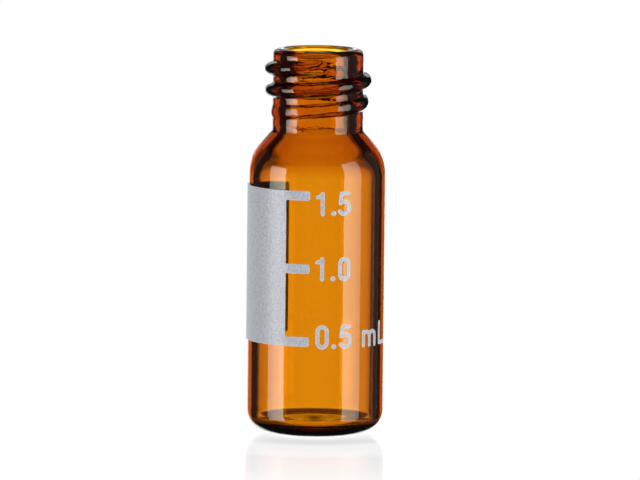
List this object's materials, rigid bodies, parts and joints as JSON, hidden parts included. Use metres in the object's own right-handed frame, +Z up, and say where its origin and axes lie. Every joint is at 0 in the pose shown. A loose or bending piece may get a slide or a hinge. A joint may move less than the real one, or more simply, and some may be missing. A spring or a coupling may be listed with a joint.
{
  "type": "glass sample vial",
  "caption": "Small cylindrical amber glass sample vial with a rounded shoulder, an open screw-thread neck, a flat base and a printed write-on field with a volume scale.",
  "frame": {"origin": "middle of the base, on the surface that the vial stands on", "axes": "+Z up along the vial's axis and out of its mouth; -X through the middle of the write-on field; the scale is read from -Y"},
  "size_m": [0.0116, 0.0116, 0.0324],
  "materials": {
    "amber_glass": "gloss",
    "white_enamel": "matte"
  },
  "bodies": {
    "root": {"glass_vial": "amber_glass", "printed_scale": "white_enamel"}
  },
  "joints": []
}
